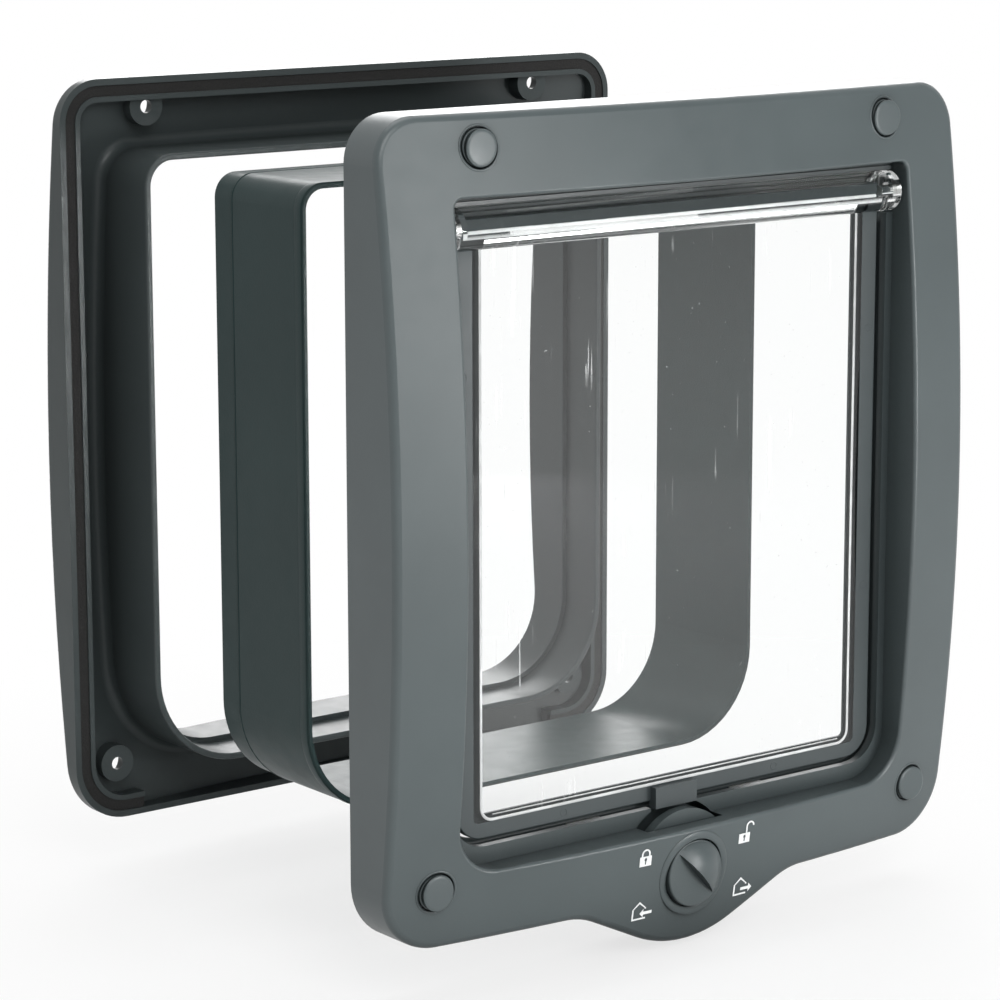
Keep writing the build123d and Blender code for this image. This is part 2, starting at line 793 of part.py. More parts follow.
def padlock(x, z, shackle_shift):
    """Padlock sign in the current sketch; an open one has its shackle shifted and raised."""
    body_width = 4.2
    body_height = 3.0
    shackle_radius = 1.3
    with Locations((x, z - body_height / 2)):
        Rectangle(body_width, body_height)
    with Locations((x, z - body_height / 2 + sign_line)):
        Circle(sign_line, mode=Mode.SUBTRACT)
    with Locations((x, z - body_height / 2 - sign_line / 2)):
        Rectangle(sign_line, body_height / 2, mode=Mode.SUBTRACT)
    middle = x + shackle_shift
    spring = z + (shackle_radius if shackle_shift else 0)
    with BuildLine(mode=Mode.PRIVATE) as shackle:
        Line((middle - shackle_radius, z), (middle - shackle_radius, spring + shackle_radius / 2))
        CenterArc((middle, spring + shackle_radius / 2), shackle_radius, 0, 180)
        if not shackle_shift:
            Line((middle + shackle_radius, z), (middle + shackle_radius, spring + shackle_radius / 2))
    trace(shackle.edges(), line_width=sign_line)


def house_face(x, z, grow, mode=Mode.ADD):
    """Outline of a house, moved outwards by grow, as a face of the sketch in hand."""
    half_width = 2.5
    wall = 3.4
    roof = 2.2
    eave = half_width + grow
    with BuildLine(mode=Mode.PRIVATE) as edge:
        Polyline(
            (x - eave, z - wall - grow),
            (x + eave, z - wall - grow),
            (x + eave, z),
            (x, z + roof + grow * sqrt(1 + (roof / half_width) ** 2)),
            (x - eave, z),
            close=True,
        )
    make_face(edge.line, mode=mode)


def house(x, z, way):
    """House sign in the current sketch, with an arrow that points in (way -1) or out (way 1)."""
    house_face(x, z, 0)
    house_face(x, z, -sign_line, mode=Mode.SUBTRACT)
    arrow_x = x + 2.5
    arrow_z = z - 1.6
    half_length = 2.2
    head = 1.3
    shaft = 0.45
    with Locations((arrow_x, arrow_z)):
        Rectangle(2 * half_length, 2 * head, mode=Mode.SUBTRACT)
    neck = arrow_x + way * (half_length - head)
    tip = arrow_x + way * half_length
    tail = arrow_x - way * half_length
    with BuildLine(mode=Mode.PRIVATE) as arrow:
        Polyline(
            (tail, arrow_z - shaft),
            (neck, arrow_z - shaft),
            (neck, arrow_z - head),
            (tip, arrow_z),
            (neck, arrow_z + head),
            (neck, arrow_z + shaft),
            (tail, arrow_z + shaft),
            close=True,
        )
    make_face(arrow.line)


# White printed signs, one at each position of the knob
with BuildPart() as lock_signs:
    with BuildSketch(room_plane(0)):
        padlock(-lock_sign_x, lock_z + lock_sign_rise, 0)
        padlock(lock_sign_x, lock_z + lock_sign_rise, 2.0)
        house(-house_sign_x, lock_z - house_sign_drop, -1)
        house(house_sign_x, lock_z - house_sign_drop, 1)
    extrude(amount=face_reach)
    room_crown(sign_thickness, Mode.INTERSECT)
    room_crown(0, Mode.SUBTRACT)

lock_signs.part.label = "lock_signs"
export_step(lock_signs.part, "parts/lock_signs.step")


# Tunnel between the two frames
with BuildPart() as tunnel:
    with BuildSketch(room_plane(tunnel_far_y)):
        tunnel_box(tunnel_step_depth)
    extrude(amount=tunnel_step_width)
    with BuildSketch(room_plane(tunnel_far_y - tunnel_step_width)):
        tunnel_box(0)
    extrude(amount=tunnel_depth - tunnel_step_width)
    chamfer(tunnel.faces().sort_by(Axis.Y)[0].edges(), length=tunnel_lead_in)
    with BuildSketch(room_plane(tunnel_far_y - tunnel_step_width)):
        tunnel_box(0)
        tunnel_box(tunnel_line_depth, mode=Mode.SUBTRACT)
    extrude(amount=tunnel_line_width, mode=Mode.SUBTRACT)
    with BuildSketch(room_plane(tunnel_far_y)):
        tunnel_box(tunnel_wall)
    extrude(amount=tunnel_depth, mode=Mode.SUBTRACT)

tunnel.part.label = "tunnel"
export_step(tunnel.part, "parts/tunnel.step")


# Outer frame: a crowned shell, open towards the room, with the collar of the tunnel
with BuildPart() as outer_hollow:
    with BuildSketch(room_plane(outer_rim_y)):
        plain_outline(groove_inner + groove_rib)
        with Locations((0, outline_bottom + side_wall + outline_bottom_radius)):
            Rectangle(2 * groove_end_x, 2 * outline_bottom_radius)
        tunnel_box(-tunnel_fit - collar_wall, mode=Mode.SUBTRACT)
        with Locations(*screw_points):
            Circle(outer_boss_radius, mode=Mode.SUBTRACT)
    extrude(amount=-outer_reach)
    outer_crown(-face_wall, Mode.INTERSECT)
    fillet(edge_loop(outer_hollow.faces().sort_by(Axis.Y)[-1]), radius=collar_root_radius)

with BuildPart() as outer_frame:
    with BuildSketch(room_plane(outer_rim_y)):
        plain_outline(0)
    extrude(amount=-outer_reach)
    outer_crown(0, Mode.INTERSECT)
    fillet(outer_frame.faces().sort_by(Axis.Y)[-1].edges(), radius=outer_edge_radius)
    add(outer_hollow.part, mode=Mode.SUBTRACT)
    with BuildSketch(room_plane(outer_rim_y)):
        tunnel_box(-tunnel_fit - collar_wall)
    extrude(amount=collar_reach)
    with BuildSketch(room_plane(outer_rim_y - collar_step_depth)):
        tunnel_box(-tunnel_fit)
    extrude(amount=collar_reach, mode=Mode.SUBTRACT)
    fillet(outer_frame.edges().group_by(Axis.Y)[0], radius=collar_lip_radius)
    with BuildSketch(room_plane(outer_rim_y - collar_reach)):
        tunnel_box(-tunnel_fit + collar_step_width)
    extrude(amount=-collar_reach - outer_reach, mode=Mode.SUBTRACT)
    with BuildSketch(room_plane(outer_rim_y)):
        plain_outline(side_wall)
        plain_outline(groove_inner, mode=Mode.SUBTRACT)
        with Locations((0, outline_bottom)):
            Rectangle(2 * groove_end_x, 2 * outline_bottom_radius, mode=Mode.SUBTRACT)
    extrude(amount=-groove_depth, mode=Mode.SUBTRACT)
    # Bosses a little below the rib, each with a through bore that is wide from the weather side
    with BuildSketch(room_plane(outer_rim_y)):
        with Locations(*screw_points):
            Circle(outer_boss_radius)
        plain_outline(groove_inner + groove_rib, mode=Mode.INTERSECT)
    extrude(amount=-outer_boss_drop, mode=Mode.SUBTRACT)
    with BuildSketch(room_plane(outer_rim_y)):
        with Locations(*screw_points):
            Circle(outer_bore_radius)
    extrude(amount=-outer_reach, mode=Mode.SUBTRACT)
    with BuildSketch(room_plane(outer_rim_y + outer_boss_drop + outer_web)):
        with Locations(*screw_points):
            Circle(outer_sink_radius)
    extrude(amount=-outer_reach, mode=Mode.SUBTRACT)

outer_frame.part.label = "outer_frame"
export_step(outer_frame.part, "parts/outer_frame.step")

# Foam strip in the groove of the outer frame, open at the bottom so that rain runs out
with BuildPart() as outer_gasket:
    with BuildSketch(room_plane(outer_rim_y + groove_depth)):
        plain_outline(side_wall)
        plain_outline(groove_inner, mode=Mode.SUBTRACT)
        with Locations((0, outline_bottom)):
            Rectangle(2 * groove_end_x, 2 * outline_bottom_radius, mode=Mode.SUBTRACT)
    extrude(amount=gasket_thickness)

outer_gasket.part.label = "outer_gasket"
export_step(outer_gasket.part, "parts/outer_gasket.step")
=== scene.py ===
"""Finishes, small details, studio and camera for the cat flap that stands apart in three units.

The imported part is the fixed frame. Everything here is in metres, in the same axes: X points right
as seen from the room, Y runs from the room into the door and Z points up.
"""

import logging
import math
from dataclasses import dataclass
from enum import Enum
from typing import ClassVar

import bmesh
import bpy
from mathutils import Matrix, Vector
from mathutils.bvhtree import BVHTree


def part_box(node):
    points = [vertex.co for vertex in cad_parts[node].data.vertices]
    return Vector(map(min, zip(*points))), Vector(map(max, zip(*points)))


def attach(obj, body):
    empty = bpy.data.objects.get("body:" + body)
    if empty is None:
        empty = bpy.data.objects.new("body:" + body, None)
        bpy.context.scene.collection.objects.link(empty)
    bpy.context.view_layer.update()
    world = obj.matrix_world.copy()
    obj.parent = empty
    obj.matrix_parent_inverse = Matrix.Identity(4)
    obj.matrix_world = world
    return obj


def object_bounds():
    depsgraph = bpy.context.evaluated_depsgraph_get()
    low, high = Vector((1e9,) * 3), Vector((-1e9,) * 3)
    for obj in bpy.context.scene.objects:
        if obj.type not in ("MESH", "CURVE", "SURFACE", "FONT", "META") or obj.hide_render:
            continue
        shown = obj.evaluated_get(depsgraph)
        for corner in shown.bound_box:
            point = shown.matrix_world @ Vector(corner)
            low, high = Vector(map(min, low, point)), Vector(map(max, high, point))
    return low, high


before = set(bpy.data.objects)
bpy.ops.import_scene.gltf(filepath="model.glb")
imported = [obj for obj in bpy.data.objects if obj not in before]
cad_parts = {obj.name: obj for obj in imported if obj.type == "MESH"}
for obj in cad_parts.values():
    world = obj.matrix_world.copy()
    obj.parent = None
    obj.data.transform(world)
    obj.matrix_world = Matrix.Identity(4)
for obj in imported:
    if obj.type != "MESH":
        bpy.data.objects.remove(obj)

log = logging.getLogger("cat_flap")

Colour = tuple[float, float, float]
Place = tuple[float, float, float]
Pair = tuple[float, float]
Socket = bpy.types.NodeSocket
Material = bpy.types.Material
Mesh = bmesh.types.BMesh

MM = 0.001
CAD_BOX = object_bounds()
ROOMWARDS = Vector((0.0, -1.0, 0.0))
RIGHT = Vector((1.0, 0.0, 0.0))
UP = Vector((0.0, 0.0, 1.0))
FULL_TURN = 360.0
QUARTER_TURN = 90.0
WELD = 0.001 * MM
QUAD = 4
SHARE: Pair = (0.0, 1.0)


class Side(Enum):
    """The two sides of the cat flap, by the sign of X."""

    LEFT = -1
    RIGHT = 1


class Level(Enum):
    """Above or below the middle of the cat flap, by the sign of Z."""

    LOW = -1
    HIGH = 1


class Graph:
    """Small helper that wires the shader nodes of one material."""

    NOOK_SAMPLES: ClassVar[int] = 8

    def __init__(self, name: str) -> None:
        """Starts a material with an output and a Principled shader.

        Args:
            name: name of the new material.
        """
        self.material = bpy.data.materials.new(name)
        self.material.use_nodes = True
        self.tree = self.material.node_tree
        self.tree.nodes.clear()
        self.output = self.tree.nodes.new("ShaderNodeOutputMaterial")
        self.shader = self.tree.nodes.new("ShaderNodeBsdfPrincipled")
        self.place = self.tree.nodes.new("ShaderNodeTexCoord")
        self.show(self.shader.outputs["BSDF"])

    def link(self, source: Socket, target: Socket) -> None:
        """Joins two sockets."""
        self.tree.links.new(source, target)

    def show(self, surface: Socket) -> None:
        """Makes a shader the surface of the material."""
        self.link(surface, self.output.inputs["Surface"])

    def fix(self, **values: float | Colour) -> None:
        """Sets values that are the same all over on the Principled shader.

        Args:
            values: the values, by the name of the socket with underscores for spaces.
        """
        for name, value in values.items():
            socket = self.shader.inputs[name.replace("_", " ")]
            socket.default_value = (*value, 1.0) if isinstance(value, tuple) else value

    def noise(self, scale: float, detail: float = 2.0, stretch: float = 1.0,
              turn: float = 0.0) -> Socket:
        """Adds a noise on the piece's own place.

        Args:
            scale: cells per metre.
            detail: number of finer octaves.
            stretch: factor on Z before the noise, so that a small one draws the cells out.
            turn: angle in degrees about Y by which the stretched axis is turned.

        Returns:
            The noise's value.
        """
        axes = self.tree.nodes.new("ShaderNodeMapping")
        axes.inputs["Rotation"].default_value = (0.0, math.radians(turn), 0.0)
        axes.inputs["Scale"].default_value = (1.0, 1.0, stretch)
        self.link(self.place.outputs["Object"], axes.inputs["Vector"])
        node = self.tree.nodes.new("ShaderNodeTexNoise")
        node.inputs["Scale"].default_value = scale
        node.inputs["Detail"].default_value = detail
        self.link(axes.outputs["Vector"], node.inputs["Vector"])
        return node.outputs["Fac"]

    def openness(self, reach: float) -> Socket:
        """Adds the share of the surroundings that a point sees, low in corners and recesses.

        Args:
            reach: how far away a surface still counts, in metres.

        Returns:
            The share, from 0 to 1.
        """
        node = self.tree.nodes.new("ShaderNodeAmbientOcclusion")
        node.samples = self.NOOK_SAMPLES
        node.inputs["Distance"].default_value = reach
        return node.outputs["AO"]

    def math(self, operation: str, first: Socket, second: Socket | float) -> Socket:
        """Adds a product or a maximum of two values.

        Args:
            operation: Blender's name of the operation.
            first: the first value.
            second: the second value, linked or constant.

        Returns:
            The result.
        """
        node = self.tree.nodes.new("ShaderNodeMath")
        node.operation = operation
        self.link(first, node.inputs[0])
        if isinstance(second, float):
            node.inputs[1].default_value = second
        else:
            self.link(second, node.inputs[1])
        return node.outputs["Value"]

    def ramp(self, value: Socket, source: Pair, target: Pair = SHARE) -> Socket:
        """Maps a value from one range to another and clamps it.

        Args:
            value: the value that comes in.
            source: where the incoming range starts and ends.
            target: what those two become.

        Returns:
            The mapped value.
        """
        node = self.tree.nodes.new("ShaderNodeMapRange")
        node.inputs["From Min"].default_value, node.inputs["From Max"].default_value = source
        node.inputs["To Min"].default_value, node.inputs["To Max"].default_value = target
        self.link(value, node.inputs["Value"])
        return node.outputs["Result"]

    def mix(self, value: Socket, first: Colour | Socket, last: Colour | Socket) -> Socket:
        """Mixes two colours by a value.

        Args:
            value: share of the second colour.
            first: colour at 0, linked or constant.
            last: colour at 1, linked or constant.

        Returns:
            The mixed colour.
        """
        node = self.tree.nodes.new("ShaderNodeMix")
        node.data_type = "RGBA"
        for name, colour in (("A", first), ("B", last)):
            if isinstance(colour, tuple):
                node.inputs[name].default_value = (*colour, 1.0)
            else:
                self.link(colour, node.inputs[name])
        self.link(value, node.inputs["Factor"])
        return node.outputs["Result"]

    def bump(self, height: Socket, distance: float) -> Socket:
        """Adds a bump.

        Args:
            height: the height value.
            distance: height of the relief in metres.

        Returns:
            The bumped normal.
        """
        node = self.tree.nodes.new("ShaderNodeBump")
        node.inputs["Distance"].default_value = distance
        self.link(height, node.inputs["Height"])
        return node.outputs["Normal"]

    def either(self, share: Socket, first: Socket, last: Socket) -> Socket:
        """Mixes two shaders.

        Args:
            share: share of the second shader.
            first: shader at 0.
            last: shader at 1.

        Returns:
            The mixed shader.
        """
        node = self.tree.nodes.new("ShaderNodeMixShader")
        self.link(share, node.inputs["Fac"])
        self.link(first, node.inputs[1])
        self.link(last, node.inputs[2])
        return node.outputs["Shader"]


def scaled(colour: Colour, factor: float) -> Colour:
    """Gives a colour that is lighter or darker by a factor."""
    return tuple(channel * factor for channel in colour)


@dataclass(frozen=True)
class MouldedPlastic:
    """Opaque moulded plastic with fine grain, slight flow marks and uneven sheen; its colour and
    highlights carry painted shade in corners and recesses.
    """

    name: str
    colour: Colour
    pale: float = 1.12
    # Painted shade in corners and recesses: colour factor, reach, highlight factor and the openness
    # band over which it fades.
    painted_nook_shade: float = 0.45
    painted_shade_reach: float = 30.0 * MM
    painted_glint_shade: float = 0.3
    painted_shade_band: Pair = (0.35, 0.95)
    flow_per_metre: float = 22.0
    flow_detail: float = 4.0
    flow_band: Pair = (0.35, 0.65)
    roughness: float = 0.31
    smoother: float = 0.03
    rougher: float = 0.04
    sheen_per_metre: float = 198.0
    sheen_detail: float = 3.0
    sheen_band: Pair = (0.3, 0.7)
    specular: float = 0.5
    grain_per_metre: float = 2600.0
    grain_depth: float = 0.005 * MM

    def material(self) -> Material:
        """Builds the material.

        Returns:
            The finished material.
        """
        graph = Graph(self.name)
        sockets = graph.shader.inputs
        flow = graph.ramp(graph.noise(self.flow_per_metre, self.flow_detail), self.flow_band)
        even = graph.mix(flow, self.colour, scaled(self.colour, self.pale))
        # Painted shade: the colour darkens where the surroundings close in, in corners and recesses.
        seen = graph.ramp(graph.openness(self.painted_shade_reach), self.painted_shade_band)
        graph.link(graph.mix(seen, scaled(self.colour, self.painted_nook_shade), even), sockets["Base Color"])
        speckle = graph.noise(self.sheen_per_metre, self.sheen_detail)
        sheen = (self.roughness - self.smoother, self.roughness + self.rougher)
        graph.link(graph.ramp(speckle, self.sheen_band, sheen), sockets["Roughness"])
        # Painted shade on the highlights: the specular level drops in the same corners and recesses.
        glint = (self.specular * self.painted_glint_shade, self.specular)
        graph.link(graph.ramp(seen, SHARE, glint), sockets["Specular IOR Level"])
        grain = graph.noise(self.grain_per_metre)
        graph.link(graph.bump(grain, self.grain_depth), sockets["Normal"])
        return graph.material


@dataclass(frozen=True)
class ClearPlastic:
    """Clear polished sheet with hair scratches and specks of dust.

    The barrel along its top bends light less than the sheet does, so that the ribs behind it show.
    """

    name: str
    colour: Colour = (0.975, 0.985, 0.982)
    roughness: float = 0.012
    index: float = 1.49
    scratch: Colour = (0.9, 0.92, 0.92)
    scratch_share: float = 0.4
    hairs_per_metre: float = 900.0
    hair_stretch: float = 0.03
    hair_turn: float = 24.0
    hair_band: Pair = (0.74, 0.78)
    patches_per_metre: float = 34.0
    patch_detail: float = 3.0
    patch_band: Pair = (0.56, 0.64)
    specks_per_metre: float = 1300.0
    speck_detail: float = 1.0
    speck_band: Pair = (0.79, 0.82)
    barrel_foot: float = 77.4 * MM
    barrel_foot_fade: float = 1.0 * MM
    barrel_reach: float = 78.0 * MM
    barrel_end_fade: float = 0.5 * MM
    barrel_share: float = 0.92

    def marks(self, graph: Graph) -> Socket:
        """Adds the share of light that scratches and specks scatter.

        Args:
            graph: the material's graph.

        Returns:
            The share.
        """
        hairs = graph.noise(self.hairs_per_metre, 0.0, self.hair_stretch, self.hair_turn)
        patches = graph.noise(self.patches_per_metre, self.patch_detail)
        scratches = graph.math(
            "MULTIPLY", graph.ramp(hairs, self.hair_band), graph.ramp(patches, self.patch_band)
        )
        specks = graph.ramp(graph.noise(self.specks_per_metre, self.speck_detail), self.speck_band)
        return graph.math("MULTIPLY", graph.math("MAXIMUM", scratches, specks), self.scratch_share)

    def straight_through(self, graph: Graph) -> Socket:
        """Adds the share of light that passes unbent: in the barrel, and for shadows everywhere.

        Args:
            graph: the material's graph.

        Returns:
            The share.
        """
        axes = graph.tree.nodes.new("ShaderNodeSeparateXYZ")
        graph.link(graph.place.outputs["Object"], axes.inputs["Vector"])
        foot = (self.barrel_foot, self.barrel_foot + self.barrel_foot_fade)
        above = graph.ramp(axes.outputs["Z"], foot, (0.0, self.barrel_share))
        ends = (self.barrel_reach ** 2, (self.barrel_reach + self.barrel_end_fade) ** 2)
        aside = graph.math("MULTIPLY", axes.outputs["X"], axes.outputs["X"])
        between = graph.ramp(aside, ends, (1.0, 0.0))
        path = graph.tree.nodes.new("ShaderNodeLightPath")
        barrel = graph.math("MULTIPLY", above, between)
        return graph.math("MAXIMUM", path.outputs["Is Shadow Ray"], barrel)

    def material(self) -> Material:
        """Builds the material.

        Returns:
            The finished material.
        """
        graph = Graph(self.name)
        graph.fix(Base_Color=self.colour, Roughness=self.roughness)
        graph.fix(Transmission_Weight=1.0, IOR=self.index)
        scuffed = graph.tree.nodes.new("ShaderNodeBsdfDiffuse")
        scuffed.inputs["Color"].default_value = (*self.scratch, 1.0)
        polished = graph.shader.outputs["BSDF"]
        sheet = graph.either(self.marks(graph), polished, scuffed.outputs["BSDF"])
        clear = graph.tree.nodes.new("ShaderNodeBsdfTransparent")
        clear.inputs["Color"].default_value = (*self.colour, 1.0)
        graph.show(graph.either(self.straight_through(graph), sheet, clear.outputs["BSDF"]))
        return graph.material


@dataclass(frozen=True)
class PaintedEdgeHighlight:
    """Painted highlight: a milky bright strip that stands in for the light running out of the clear
    sheet's edge, and can glow.
    """

    name: str
    colour: Colour = (0.93, 0.95, 0.95)
    dim: float = 0.82
    waves_per_metre: float = 120.0
    wave_band: Pair = (0.4, 0.6)
    roughness: float = 0.15
    clearness: float = 0.25
    index: float = 1.49
    glow: float = 0.0

    def material(self) -> Material:
        """Builds the material.

        Returns:
            The finished material.
        """
        graph = Graph(self.name)
        wave = graph.ramp(graph.noise(self.waves_per_metre), self.wave_band)
        shade = graph.mix(wave, self.colour, scaled(self.colour, self.dim))
        graph.link(shade, graph.shader.inputs["Base Color"])
        graph.fix(Roughness=self.roughness, Transmission_Weight=self.clearness, IOR=self.index)
        # Emission makes the strip glow as painted light, though it is no lamp.
        graph.fix(Emission_Color=self.colour, Emission_Strength=self.glow)
        return graph.material


@dataclass(frozen=True)
class PrintedInk:
    """Opaque white pad print, a little thin in places."""

    name: str
    colour: Colour = (0.9, 0.91, 0.91)
    thin: Colour = (0.76, 0.78, 0.78)
    patches_per_metre: float = 900.0
    patch_detail: float = 3.0
    patch_band: Pair = (0.3, 0.6)
    roughness: float = 0.4

    def material(self) -> Material:
        """Builds the material.

        Returns:
            The finished material.
        """
        graph = Graph(self.name)
        patches = graph.noise(self.patches_per_metre, self.patch_detail)
        thinness = graph.ramp(patches, self.patch_band, (1.0, 0.0))
        graph.link(graph.mix(thinness, self.colour, self.thin), graph.shader.inputs["Base Color"])
        graph.fix(Roughness=self.roughness)
        return graph.material


@dataclass(frozen=True)
class BareMetal:
    """Drawn or plated metal with fine marks."""

    name: str
    colour: Colour = (0.58, 0.58, 0.57)
    dull: float = 0.8
    marks_per_metre: float = 1500.0
    mark_detail: float = 4.0
    mark_band: Pair = (0.3, 0.7)
    roughness: Pair = (0.28, 0.4)

    def material(self) -> Material:
        """Builds the material.

        Returns:
            The finished material.
        """
        graph = Graph(self.name)
        marks = graph.noise(self.marks_per_metre, self.mark_detail)
        shade = graph.mix(marks, self.colour, scaled(self.colour, self.dull))
        graph.link(shade, graph.shader.inputs["Base Color"])
        sheen = graph.ramp(marks, self.mark_band, self.roughness)
        graph.link(sheen, graph.shader.inputs["Roughness"])
        graph.fix(Metallic=1.0)
        return graph.material


@dataclass(frozen=True)
class FoamStrip:
    """Closed-cell foam with open pores on its cut faces."""

    name: str
    colour: Colour = (0.006, 0.0058, 0.0055)
    pale: float = 1.8
    pores_per_metre: float = 1400.0
    pore_depth: float = 0.1 * MM
    roughness: float = 0.8

    def material(self) -> Material:
        """Builds the material.

        Returns:
            The finished material.
        """
        graph = Graph(self.name)
        cells = graph.tree.nodes.new("ShaderNodeTexVoronoi")
        cells.inputs["Scale"].default_value = self.pores_per_metre
        graph.link(graph.place.outputs["Object"], cells.inputs["Vector"])
        pores = cells.outputs["Distance"]
        shade = graph.mix(pores, self.colour, scaled(self.colour, self.pale))
        graph.link(shade, graph.shader.inputs["Base Color"])
        graph.link(graph.bump(pores, self.pore_depth), graph.shader.inputs["Normal"])
        graph.fix(Roughness=self.roughness)
        return graph.material


class Draw:
    """Mesh that grows as a section is drawn along, straight on or round an axis along Y."""

    def __init__(self, shape: Mesh, section: list[Vector], closed: bool = True) -> None:
        """Starts with the section.

        Args:
            shape: the bmesh that the mesh is added to.
            section: the points of the section, in turn.
            closed: whether the last point joins the first.
        """
        self.shape = shape
        corners = [shape.verts.new(point) for point in section]
        after = corners[1:] + corners[:1] if closed else corners[1:]
        self.front = [shape.edges.new(pair) for pair in zip(corners, after)]

    def run(self, way: Vector) -> None:
        """Draws the section straight on.

        Args:
            way: the way from its last place to the next.
        """
        made = bmesh.ops.extrude_edge_only(self.shape, edges=self.front)["geom"]
        corners = {part for part in made if isinstance(part, bmesh.types.BMVert)}
        bmesh.ops.translate(self.shape, verts=list(corners), vec=way)
        edges = [part for part in made if isinstance(part, bmesh.types.BMEdge)]
        self.front = [edge for edge in edges if corners.issuperset(edge.verts)]

    def turn(self, centre: Vector, degrees: float, steps: int) -> None:
        """Draws the section round an axis, anticlockwise as seen from the room.

        Args:
            centre: a point on the axis.
            degrees: how far it is turned; a full turn meets its own start.
            steps: number of pieces.
        """
        made = bmesh.ops.spin(
            self.shape, geom=self.front, cent=centre, axis=ROOMWARDS, angle=math.radians(degrees),
            steps=steps, use_merge=degrees == FULL_TURN,
        )
        self.front = [part for part in made["geom_last"] if isinstance(part, bmesh.types.BMEdge)]

    def finish(self) -> None:
        """Joins ends that meet and fills the ends that are open."""
        bmesh.ops.remove_doubles(self.shape, verts=self.shape.verts, dist=WELD)
        rims = [edge for edge in self.shape.edges if edge.is_boundary]
        bmesh.ops.edgeloop_fill(self.shape, edges=rims)


def half_round(middle: Vector, across: Vector, outwards: Vector, bead: Pair,
               steps: int) -> list[Vector]:
    """Gives the points of a low half-round section.

    Args:
        middle: the middle of its flat side.
        across: direction of its flat side.
        outwards: direction in which it stands out.
        bead: its width along the flat side, and how far it stands out.
        steps: number of pieces over its round side.

    Returns:
        The points over the round side, from one end of the flat side to the other.
    """
    width, height = bead
    angles = [math.pi * step / steps for step in range(steps + 1)]
    return [
        middle + across * (width / 2 * math.cos(angle)) + outwards * (height * math.sin(angle))
        for angle in angles
    ]


def straight_bead(start: Vector, way: Vector, bead: Pair, steps: int = 10) -> Mesh:
    """Makes a straight half-round bead on a plane that faces the room.

    Args:
        start: the start of its middle line.
        way: the way from its start to its end.
        bead: its width on the plane, and how far it stands out.
        steps: number of faces over its section.

    Returns:
        The new bmesh.
    """
    shape = bmesh.new()
    across = way.normalized().cross(ROOMWARDS)
    line = Draw(shape, half_round(start, across, ROOMWARDS, bead, steps))
    line.run(way)
    line.finish()
    return shape


def trough_bead(low: Vector, high: Vector, radius: float, bead: Pair, steps: int = 10,
                turns: int = 12) -> Mesh:
    """Makes a half-round bead in the form of a U with rounded lower corners, facing the room.

    Args:
        low: the lower left corner of its middle line.
        high: the upper right end of its middle line.
        radius: radius of its corners.
        bead: its width on the plane, and how far it stands out.
        steps: number of faces over its section.
        turns: number of pieces in each corner.

    Returns:
        The new bmesh.
    """
    shape = bmesh.new()
    start = Vector((low.x, low.y, high.z))
    fall = UP * (high.z - low.z - radius)
    line = Draw(shape, half_round(start, RIGHT, ROOMWARDS, bead, steps))
    line.run(-fall)
    line.turn(low + (RIGHT + UP) * radius, QUARTER_TURN, turns)
    line.run(RIGHT * (high.x - low.x - 2 * radius))
    line.turn(Vector((high.x - radius, low.y, low.z + radius)), QUARTER_TURN, turns)
    line.run(fall)
    line.finish()
    return shape


def ring(shape: Mesh, centre: Vector, radius: float, bead: Pair, steps: int = 6,
         turns: int = 32) -> None:
    """Adds a low round ring that lies on a plane facing the room.

    Args:
        shape: the bmesh that it is added to.
        centre: its centre on the plane.
        radius: radius of its middle line.
        bead: its width on the plane, and how far it stands out.
        steps: number of faces over its section.
        turns: number of pieces round it.
    """
    line = Draw(shape, half_round(centre + RIGHT * radius, RIGHT, ROOMWARDS, bead, steps))
    line.turn(centre, FULL_TURN, turns)


def hoop(shape: Mesh, box: tuple[Vector, Vector], depth: float, radii: Pair, bead: Pair,
         steps: int = 12) -> None:
    """Adds a half-round bead round a tube whose section is a rectangle with round corners.

    Args:
        shape: the bmesh that it is added to.
        box: the tube's lowest and highest corner.
        depth: Y of the bead's middle line.
        radii: radius of the tube's upper corners and of its lower ones.
        bead: its width along the tube, and how far it stands out.
        steps: number of pieces in each corner and over the bead's section.
    """
    low, high = box
    top, bottom = radii
    corners = (
        (Vector((high.x - top, depth, high.z - top)), top),
        (Vector((low.x + top, depth, high.z - top)), top),
        (Vector((low.x + bottom, depth, low.z + bottom)), bottom),
        (Vector((high.x - bottom, depth, low.z + bottom)), bottom),
    )
    sides = (UP, -RIGHT, -UP, RIGHT)
    line = Draw(shape, half_round(corners[0][0] + RIGHT * top, ROOMWARDS, RIGHT, bead, steps))
    following = corners[1:] + corners[:1]
    for (centre, radius), (after, after_radius), side in zip(corners, following, sides):
        line.turn(centre, QUARTER_TURN, steps)
        line.run(after + side * after_radius - centre - side * radius)
    line.finish()


def crown(shape: Mesh, centre: Vector, profile: list[Pair], turns: int = 48) -> None:
    """Adds a turned button that faces the room.

    Args:
        shape: the bmesh that it is added to.
        centre: the middle of its back.
        profile: radius and height of each ring, from the back's edge to the front.
        turns: number of pieces round it.
    """
    section = [centre + RIGHT * radius + ROOMWARDS * rise for radius, rise in profile]
    line = Draw(shape, section, closed=False)
    line.turn(centre, FULL_TURN, turns)
    line.finish()


